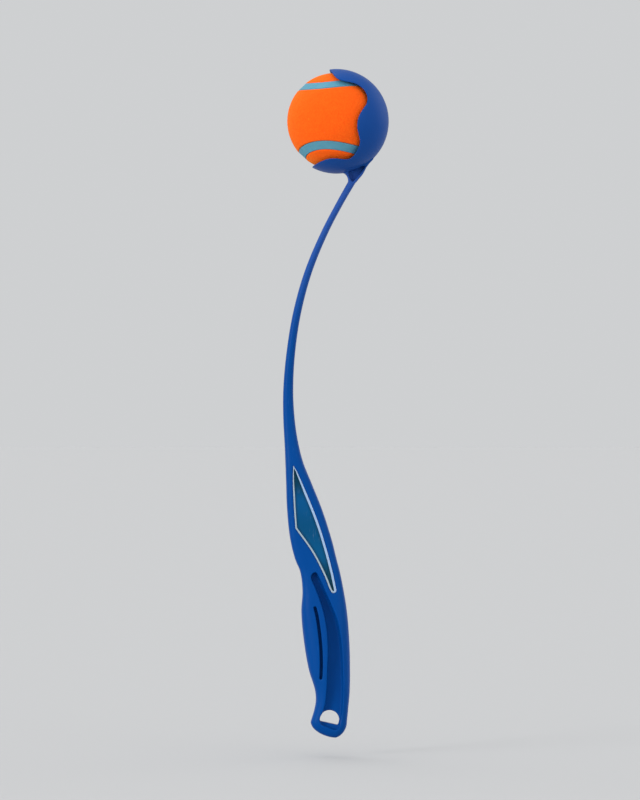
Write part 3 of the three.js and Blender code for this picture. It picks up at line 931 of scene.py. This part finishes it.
# Ball seam
# One endless band of teal rubber fills the seam between the two felt panels. It is moulded in
# under heat, so its face sinks a little between the felt edges.
seam_loop_share = 0.817
seam_fold_share = 1 - seam_loop_share
seam_swing = 2 * math.sqrt(seam_loop_share * seam_fold_share)
seam_width = 0.0062
seam_edge_gap = 0.0003
seam_recess = 0.0002
seam_sag = 0.00015
seam_bottom = 0.0302
seam_steps = 480
seam_columns = 14
seam_nudge = 0.01
ball_turn = [math.radians(angle) for angle in (-96.6, 23.7, 134.7)]
ball_turned = Matrix.Rotation(ball_turn[0], 3, "X") @ Matrix.Rotation(ball_turn[1], 3, "Y")
ball_turned = np.array(ball_turned @ Matrix.Rotation(ball_turn[2], 3, "Z"))


def seam_points(t):
    """The seam on a unit ball: a closed curve with four bends"""
    return np.stack([
        seam_loop_share * np.cos(t) + seam_fold_share * np.cos(3 * t),
        seam_loop_share * np.sin(t) - seam_fold_share * np.sin(3 * t),
        seam_swing * np.sin(2 * t),
    ], axis=-1)


def beside_seam(t, distance):
    """Directions to a line beside the seam, at a distance from it towards the first panel"""
    out = seam_points(t)
    out /= np.linalg.norm(out, axis=-1, keepdims=True)
    along = seam_points(t + seam_nudge) - seam_points(t - seam_nudge)
    along /= np.linalg.norm(along, axis=-1, keepdims=True)
    angle = distance / ball_radius
    return out * np.cos(angle) + np.cross(out, along) * np.sin(angle)


def on_ball(points):
    """Points of the ball's own frame, where the ball sits in the cup"""
    return np.asarray(points).reshape(-1, 3) @ ball_turned.T + np.array(cup_centre)


seam_shares = np.linspace(-1, 1, seam_columns + 1)
seam_tops = ball_radius - seam_recess - seam_sag * (1 - seam_shares ** 2)
seam_section = [(share * seam_width / 2, top) for share, top in zip(seam_shares, seam_tops)]
seam_section += [(side * seam_width / 2, seam_bottom) for side in (1, 0, -1)]
seam_turns = np.arange(seam_steps) / seam_steps * 2 * np.pi
seam_rings = np.stack(
    [beside_seam(seam_turns, side) * radius for side, radius in seam_section], axis=1,
)
seam_faces = []
for i in range(seam_steps):
    after = (i + 1) % seam_steps
    for k in range(len(seam_section)):
        m = (k + 1) % len(seam_section)
        low, high = i * len(seam_section), after * len(seam_section)
        seam_faces.append((low + k, low + m, high + m, high + k))
seam = piece_from("seam_rubber", on_ball(seam_rings), seam_faces)
deep_teal, light_teal = (0.070, 0.270, 0.380, 1), (0.115, 0.345, 0.455, 1)
seam_smooth, seam_rough = 0.55, 0.85
seam_grain_depth = 0.00006
seam_rubber, nodes, shader = finish("seam_rubber", Specular_IOR_Level=0.35)
grain = nodes.add(
    "ShaderNodeGroup", {"Grain per metre": 2600, "Flow per metre": 240}, node_tree=moulded_grain,
).outputs
nodes.feed(shader, {
    "Base Color": mixed(nodes, grain["Flow"], deep_teal, light_teal),
    "Roughness": rescaled(nodes, grain["Grain"], wanted=(seam_smooth, seam_rough)),
    "Normal": raised(nodes, grain["Grain"], seam_grain_depth),
})
seam.data.materials.append(seam_rubber)
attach(seam, "ball")
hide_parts("seam_band")

# Felt panels
# Two equal dumb-bell panels of needled orange felt wrap the core like the halves of a peel. Each
# is cut, stretched and glued down, with a soft rolled edge along the seam and a short uneven nap.
felt_thickness = 0.0029
felt_inside = ball_radius - felt_thickness
panel_edge = seam_width / 2 + seam_edge_gap
panel_rows = 280
panel_columns = 110
inner_columns = 10
panel_crowding = 0.11
least_arc = 1e-9
edge_points = 3000
edge_roll = 0.0013
edge_drop = 0.0008
nap_height = 0.00010
nap_lumps = ((420, 0.55), (1300, 0.45))


def panel_grid(columns):
    """Directions over a panel: rows from one seam edge to the other, joined by arcs"""
    t = np.linspace(-np.pi / 4, 3 * np.pi / 4, panel_rows + 1)
    one, other = beside_seam(t, panel_edge), beside_seam(-np.pi / 2 - t, panel_edge)
    arc = np.arccos(np.clip((one * other).sum(axis=1), -1, 1))
    arc = np.maximum(arc, least_arc)[:, None, None]
    share = np.linspace(0, 1, columns + 1)
    share = (share - panel_crowding * np.sin(2 * np.pi * share))[None, :, None]
    from_one, from_other = np.sin((1 - share) * arc), np.sin(share * arc)
    return (from_one * one[:, None] + from_other * other[:, None]) / np.sin(arc)


edge_line = beside_seam(np.linspace(0, 2 * np.pi, edge_points), panel_edge) * ball_radius
edge_tree = kdtree.KDTree(len(edge_line))
for index, point in enumerate(edge_line):
    edge_tree.insert(point, index)
edge_tree.balance()


def nap_at(point):
    """How high the nap stands at a point of the unit ball, from -1 to 1"""
    spot = Vector(point) * ball_radius
    return sum(share * noise.noise(spot * per_metre) for per_metre, share in nap_lumps)


def felt_panel(name, turned_over):
    """A closed felt panel: the napped outer face, its rolled edge and the face glued to the core"""
    outer = panel_grid(panel_columns)
    inner = panel_grid(inner_columns) * felt_inside
    flat = outer.reshape(-1, 3)
    from_edge = np.array([edge_tree.find(point * ball_radius)[2] for point in flat])
    roll = edge_drop * (1 - np.sqrt(1 - (1 - np.clip(from_edge / edge_roll, 0, 1)) ** 2))
    nap = np.array([nap_at(point) for point in flat])
    surface = flat * (ball_radius - roll + nap_height * nap)[:, None]
    points = np.vstack([surface, inner.reshape(-1, 3)])
    faces = []
    across, under = panel_columns + 1, inner_columns + 1
    base = len(surface)
    for i in range(panel_rows):
        for j in range(panel_columns):
            corner = i * across + j
            faces.append((corner, corner + 1, corner + across + 1, corner + across))
        for j in range(inner_columns):
            corner = base + i * under + j
            faces.append((corner, corner + under, corner + under + 1, corner + 1))
        low, high = i * across, (i + 1) * across
        inner_low, inner_high = base + i * under, base + (i + 1) * under
        faces.append((low, high, inner_high, inner_low))
        faces.append((
            low + panel_columns, inner_low + inner_columns,
            inner_high + inner_columns, high + panel_columns,
        ))
    if turned_over:
        points = points * (1, -1, -1)
    return piece_from(name, on_ball(points), faces)


# Felt: matted fibres a quarter of a millimetre apart. Its colour is painted paler on the fibres'
# tips, a painted highlight, and darker in the hollows between the tufts, a painted shade.
felt_hollow_shade = (0.95, 0.070, 0.003, 1)
felt_orange = (1.0, 0.110, 0.006, 1)
felt_tip_highlight = (1.0, 0.190, 0.012, 1)
felt_sheen = (1.0, 0.62, 0.06, 1)
fibres_per_metre = 4200
fibre_thin = 0.11
fibre_turns = ((0.3, 0.2, 0.1), (1.2, 0.5, 0.9), (0.4, 1.3, 1.9), (1.9, 2.3, 0.6))
tufts_per_metre = 700
drifts_per_metre = 70
tip_from, tip_to = 0.58, 0.78
hollow_from, hollow_to = 0.35, 0.60
hollow_share = 0.55
tuft_depth = 0.00030
fuzz_depth = 0.00012
felt, nodes, shader = finish(
    "orange_felt", Roughness=0.95, Specular_IOR_Level=0.1, Sheen_Weight=0.30,
    Sheen_Roughness=0.5, Sheen_Tint=felt_sheen,
)
place = nodes.add("ShaderNodeTexCoord").outputs["Object"]
strands = []
for turned in fibre_turns:
    lie = {"Rotation": turned, "Scale": (1, 1, fibre_thin)}
    laid = nodes.add("ShaderNodeMapping", lie, {"Vector": place}).outputs[0]
    strands.append(nodes.add(
        "ShaderNodeTexNoise", {"Scale": fibres_per_metre, "Detail": 1, "Distortion": 0.4},
        {"Vector": laid},
    ).outputs["Fac"])
upper = [maths(nodes, "MAXIMUM", *strands[k:k + 2]) for k in (0, 2)]
fibres = maths(nodes, "MAXIMUM", *upper)
tufts = nodes.add(
    "ShaderNodeTexNoise", {"Scale": tufts_per_metre, "Detail": 3, "Distortion": 1.2},
    {"Vector": place},
).outputs["Fac"]
drift = nodes.add(
    "ShaderNodeTexNoise", {"Scale": drifts_per_metre, "Detail": 2}, {"Vector": place},
).outputs["Fac"]
hollow = rescaled(nodes, tufts, (hollow_from, hollow_to))
tips = rescaled(nodes, fibres, (tip_from, tip_to))
# Painted shade in the hollows between tufts, and below a painted highlight on the fibre tips.
matted = mixed(nodes, rescaled(nodes, hollow, wanted=(hollow_share, 1)), felt_hollow_shade, felt_orange)
matting = raised(nodes, tufts, tuft_depth, strength=0.8)
nodes.feed(shader, {
    "Base Color": mixed(nodes, maths(nodes, "MULTIPLY", tips, drift), matted, felt_tip_highlight),
    "Normal": raised(nodes, fibres, fuzz_depth, over=matting),
})

for letter, turned_over in (("a", False), ("b", True)):
    panel = felt_panel(f"felt_cover_{letter}", turned_over)
    panel.data.materials.append(felt)
    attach(panel, "ball")
    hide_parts(f"felt_panel_{letter}")

# The overall sizes of the solids and of what is seen.
low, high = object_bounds()
